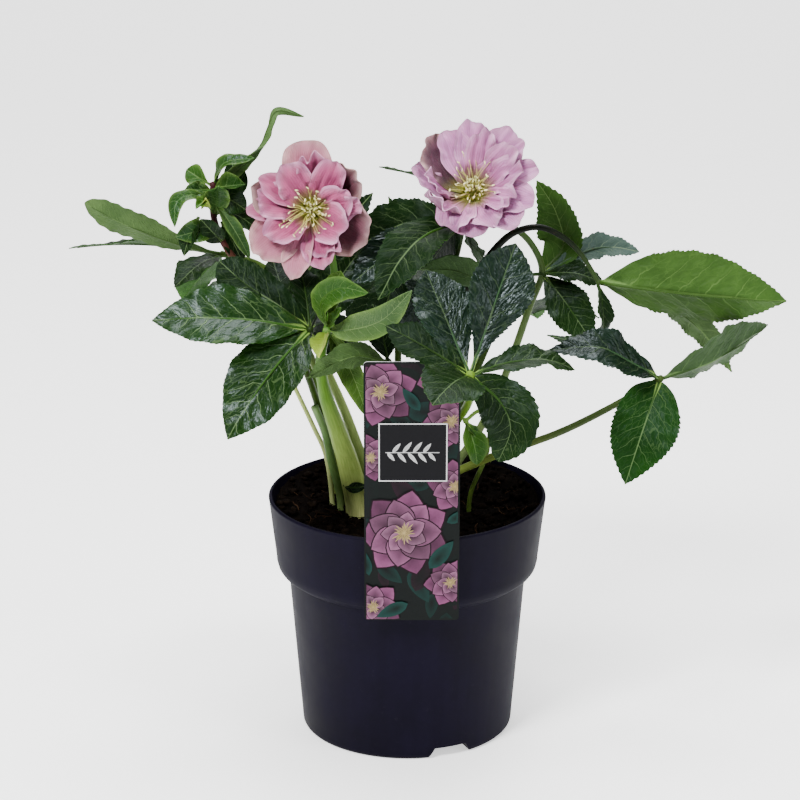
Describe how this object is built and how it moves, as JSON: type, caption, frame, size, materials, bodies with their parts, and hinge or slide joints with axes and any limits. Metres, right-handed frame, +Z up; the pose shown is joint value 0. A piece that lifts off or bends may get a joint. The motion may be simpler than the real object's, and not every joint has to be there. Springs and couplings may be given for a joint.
{
  "type": "double-flowered hellebore in a nursery pot",
  "caption": "Pink double hellebore with toothed palmate leaves and leafy flowering stems, growing in a round dark plastic nursery pot with a plant label hooked over the rim.",
  "frame": {"origin": "middle of the pot's foot, on the surface that the pot stands on", "axes": "+Z up along the pot's axis, -Y to the front, where both open flowers and the label face, +X to the right as seen from the front"},
  "size_m": [0.3812, 0.2784, 0.3432],
  "materials": {
    "pot_plastic": "satin moulded polypropylene, very dark plum grey",
    "compost": "damp dark potting compost with fibres",
    "label_card": "printed plastic card, dark ground with pink flowers",
    "leaf": "glossy leathery leaf, pale veins, lighter underside",
    "young_growth": "fresh yellow-green stems and bracts",
    "petal": "soft pink petals, deeper at the foot and pale at the edge",
    "stamen": "yellow-green filaments with cream anthers"
  },
  "bodies": {
    "root": {"pot": "pot_plastic", "soil": "compost", "plant_label": "label_card", "leaf_right_low": "leaf", "leaf_right_large": "leaf", "leaf_front": "leaf", "leaf_centre": "leaf", "leaf_left": "leaf", "leaf_upper_left": "leaf", "leaf_centre_low": "leaf", "leaf_back_centre": "leaf", "leaf_back_left": "leaf", "leaf_back_right": "leaf", "flower_stem_left": "young_growth", "flower_stem_right": "young_growth", "flower_stem_young": "young_growth", "cut_petiole": "young_growth", "pale_petiole": "young_growth", "young_leaf_right": "young_growth", "bloom_left_petals": "petal", "bloom_left_stamens": "stamen", "bloom_right_petals": "petal", "bloom_right_stamens": "stamen"}
  },
  "joints": []
}
